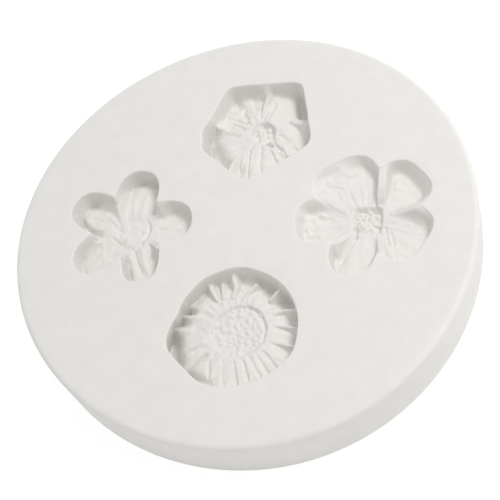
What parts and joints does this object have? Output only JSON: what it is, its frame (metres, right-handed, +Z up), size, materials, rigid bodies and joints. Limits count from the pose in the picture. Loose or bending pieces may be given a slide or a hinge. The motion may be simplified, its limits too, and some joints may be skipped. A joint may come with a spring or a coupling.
{
  "type": "fondant mould",
  "caption": "Round, flat silicone mould with flower-shaped pockets sunk in its top face, for pressing small fondant or sugar-paste flowers.",
  "frame": {"origin": "middle of the flat base, on the surface that the mould lies on", "axes": "+Z up out of the pockets, +Y towards the five-sided bell flower, +X towards the broad-petalled wild rose"},
  "size_m": [0.0806, 0.0799, 0.01],
  "materials": {
    "silicone": "matt, slightly warm off-white cured silicone"
  },
  "bodies": {
    "root": {"mould_body": "silicone"}
  },
  "joints": []
}
